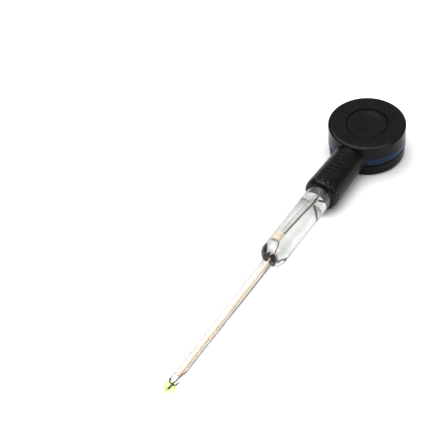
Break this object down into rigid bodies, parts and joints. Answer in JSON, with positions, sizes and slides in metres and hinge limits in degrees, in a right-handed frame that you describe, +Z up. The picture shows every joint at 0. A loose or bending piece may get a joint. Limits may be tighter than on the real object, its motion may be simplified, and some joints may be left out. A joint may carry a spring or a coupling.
{
  "type": "digital ph meter",
  "caption": "Wireless pH probe: a round head with a push button and a light ring, a short grip, and a glass electrode that narrows to a thin stem with a bulb.",
  "frame": {"origin": "centre of the head's flat underside, which is also the face of the battery cover's grip bar", "axes": "+Z up through the power button; the electrode's axis runs along -Y, level, half way up the head, with the bulb at its far end; +X to the right seen from the bulb's end"},
  "size_m": [0.035, 0.1894, 0.0164],
  "materials": {
    "gloss_black": "gloss",
    "grip_black": "satin",
    "base_black": "satin",
    "frame_grey": "matte",
    "light_blue": "gloss",
    "black_rubber": "matte",
    "silicone": "matte",
    "steel": "satin",
    "cell_steel": "satin",
    "board_green": "satin",
    "chip_black": "matte",
    "ceramic_white": "matte",
    "led_white": "gloss",
    "nylon_white": "satin",
    "foam_grey": "matte",
    "lead_insulation": "satin",
    "clear_glass": "gloss",
    "bulb_glass": "gloss",
    "grey_seal": "satin",
    "gel": "gloss",
    "gilt": "polished",
    "silver_chloride": "matte",
    "frit_yellow": "matte",
    "collar_black": "satin",
    "copper": "polished",
    "sleeve_amber": "gloss",
    "sensor_epoxy": "gloss"
  },
  "bodies": {
    "probe": {"upper_housing": "gloss_black", "lower_housing": "base_black", "housing_gasket": "black_rubber", "inner_frame": "frame_grey", "light_ring": "light_blue", "housing_screws": "steel", "button_membrane": "silicone", "dome_switch": "steel", "circuit_board": "board_green", "board_screws": "steel", "ring_leds": "led_white", "radio_module": "steel", "chip_antenna": "ceramic_white", "amplifier_chip": "chip_black", "timing_crystal": "steel", "board_capacitors": "ceramic_white", "lead_connector": "nylon_white", "coin_cell": "cell_steel", "cell_spring": "gilt", "cell_clip": "gilt", "neck_grip": "grip_black", "nose_ring": "gloss_black", "glass_seal": "black_rubber", "neck_leads": "lead_insulation", "electrode_cap": "chip_black", "chamber_glass": "clear_glass", "glass_plug": "grey_seal", "crimp_sleeve": "gilt", "reference_wire": "silver_chloride", "inner_tube": "clear_glass", "inner_frit": "frit_yellow", "chamber_gel": "gel", "stem_collar": "collar_black", "stem_glass": "clear_glass", "lead_sleeve": "sleeve_amber", "sensor_leads": "copper", "temperature_sensor": "sensor_epoxy", "measuring_element": "silver_chloride", "bulb_buffer": "gel", "ph_bulb": "bulb_glass"},
    "button": {"power_button": "gloss_black"},
    "cover": {"battery_cover": "base_black", "cover_oring": "black_rubber", "cell_pad": "foam_grey"}
  },
  "joints": [
    {"name": "button_press", "type": "slide", "parent": "probe", "child": "button", "axis": [0, 0, -1], "range_m": [0, 0.0004], "stiffness_N_per_m": 2000, "springref_m": -0.0006, "deforming": ["button_membrane", "dome_switch"]},
    {"name": "cover_turn", "type": "hinge", "parent": "probe", "child": "cover", "pos_m": [0, 0, 0], "axis": [0, 0, 1], "range_deg": [0, 45]}
  ]
}
